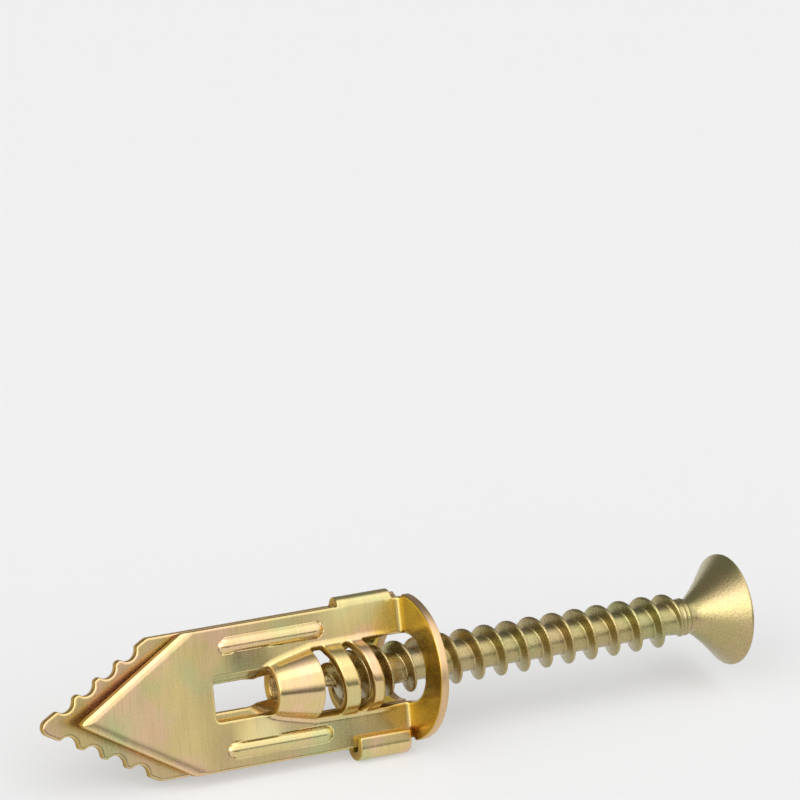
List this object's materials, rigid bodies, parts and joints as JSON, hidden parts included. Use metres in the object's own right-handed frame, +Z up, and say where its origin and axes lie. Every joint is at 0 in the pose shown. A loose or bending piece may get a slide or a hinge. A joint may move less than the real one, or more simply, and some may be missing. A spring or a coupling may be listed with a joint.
{
  "type": "hammer drive anchor",
  "caption": "Folded sheet-metal plasterboard anchor with two pointed blades, a round split flange and a toothed edge, with a coarse countersunk drive screw started in its channel.",
  "frame": {"origin": "on the table under the middle of the part as it lies", "axes": "+X along the screw from point to head, +Z up from the table; the plain blade and the folded bridge face up and to -Y"},
  "size_m": [0.0582, 0.012, 0.0114],
  "materials": {
    "plated_sheet": "satin yellow zinc plating",
    "plated_screw": "matt yellow zinc plating"
  },
  "bodies": {
    "anchor": {"anchor_sheet": "plated_sheet"},
    "screw": {"drive_screw": "plated_screw"}
  },
  "joints": [
    {"name": "screw_drive", "type": "slide", "parent": "anchor", "child": "screw", "axis": [-1, 0, 0], "range_m": [-0.009, 0.004]}
  ]
}
